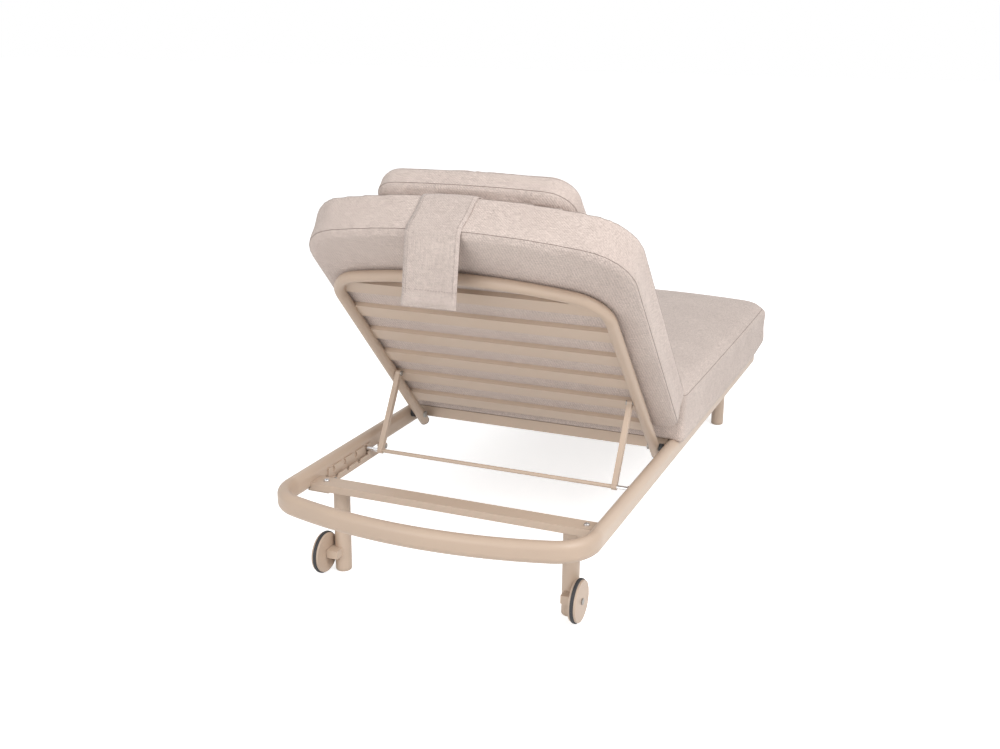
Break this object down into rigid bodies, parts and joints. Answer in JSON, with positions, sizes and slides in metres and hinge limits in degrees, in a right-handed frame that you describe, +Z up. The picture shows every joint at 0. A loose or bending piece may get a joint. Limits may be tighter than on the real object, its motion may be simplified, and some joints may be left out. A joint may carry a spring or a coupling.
{
  "type": "sun lounger",
  "caption": "Reclining sun lounger: bowed flat-oval tube frame on round legs with wheels at the head, propped hoop backrest, box cushions and a strapped headrest",
  "frame": {"origin": "on the floor under the centre of the lounger's box", "axes": "+Z up, -Y to the foot end, +Y to the head end, +X to the left of someone lying on it"},
  "size_m": [0.816, 1.9658, 0.9918],
  "materials": {
    "sand_paint": "satin powder coat",
    "fabric": "heathered woven outdoor cloth",
    "steel": "bright",
    "tyre": "matte",
    "dark_plastic": "matte",
    "sand_plastic": "matte"
  },
  "bodies": {
    "base": {"axle_bolts": "steel", "foot_bow": "sand_paint", "foot_crossbar": "sand_paint", "foot_glides": "sand_plastic", "foot_left_leg": "sand_paint", "foot_right_leg": "sand_paint", "head_bow": "sand_paint", "head_crossbar": "sand_paint", "head_left_leg": "sand_paint", "head_right_leg": "sand_paint", "hinge_bushes": "dark_plastic", "hinge_crossbar": "sand_paint", "hinge_pins": "steel", "left_rail": "sand_paint", "leg_lugs": "sand_paint", "leg_screws": "steel", "rack_end_blocks": "sand_paint", "rack_hooks_left": "sand_paint", "rack_hooks_right": "sand_paint", "rack_left": "sand_paint", "rack_right": "sand_paint", "rack_screws": "steel", "rack_spacers": "sand_paint", "right_rail": "sand_paint", "seat_cushion": "fabric", "seat_slat_1": "sand_paint", "seat_slat_2": "sand_paint", "seat_slat_3": "sand_paint", "seat_slat_4": "sand_paint", "seat_slat_5": "sand_paint", "seat_slat_6": "sand_paint", "wheel_bracket_left": "sand_paint", "wheel_bracket_right": "sand_paint"},
    "backrest": {"backrest_hoop": "sand_paint", "back_cushion": "fabric", "prop_pivot_pins": "steel", "tube_plugs": "dark_plastic", "strap_over": "fabric", "back_slat_1": "sand_paint", "back_slat_2": "sand_paint", "back_slat_3": "sand_paint", "back_slat_4": "sand_paint", "back_slat_5": "sand_paint", "back_slat_6": "sand_paint"},
    "prop": {"prop_arm_left": "sand_paint", "prop_arm_right": "sand_paint", "prop_rod": "sand_paint", "prop_end_pins": "steel"},
    "headrest": {"headrest_pillow": "fabric", "strap_front": "fabric"},
    "strap_tail": {"strap_flap": "fabric", "counterweight": "steel"},
    "wheel_left": {"wheel_left_hub": "dark_plastic", "wheel_left_inner_disc": "sand_paint", "wheel_left_outer_disc": "sand_paint", "wheel_left_tyre": "tyre"},
    "wheel_right": {"wheel_right_hub": "dark_plastic", "wheel_right_inner_disc": "sand_paint", "wheel_right_outer_disc": "sand_paint", "wheel_right_tyre": "tyre"}
  },
  "joints": [
    {"name": "back_recline", "type": "hinge", "parent": "base", "child": "backrest", "pos_m": [0, 0.213, 0.244], "axis": [1, 0, 0], "range_deg": [-44, 0]},
    {"name": "prop_swing", "type": "hinge", "parent": "backrest", "child": "prop", "pos_m": [0, 0.38127, 0.40952], "axis": [1, 0, 0], "range_deg": [0, 97.5]},
    {"name": "strap_hang", "type": "hinge", "parent": "backrest", "child": "strap_tail", "pos_m": [0, 0.80321, 0.88387], "axis": [1, 0, 0], "range_deg": [0, 44.5]},
    {"name": "headrest_slide", "type": "slide", "parent": "backrest", "child": "headrest", "axis": [0, 0.7009, 0.7133], "range_m": [-0.08, 0]},
    {"name": "wheel_left_spin", "type": "hinge", "parent": "base", "child": "wheel_left", "pos_m": [0.3275, 0.769, 0.055], "axis": [1, 0, 0], "continuous": true},
    {"name": "wheel_right_spin", "type": "hinge", "parent": "base", "child": "wheel_right", "pos_m": [-0.3275, 0.769, 0.055], "axis": [1, 0, 0], "continuous": true}
  ],
  "couplings": [
    {"joint": "prop_swing", "follows": "back_recline", "ratio": -2.2051},
    {"joint": "strap_hang", "follows": "back_recline", "ratio": -1}
  ]
}
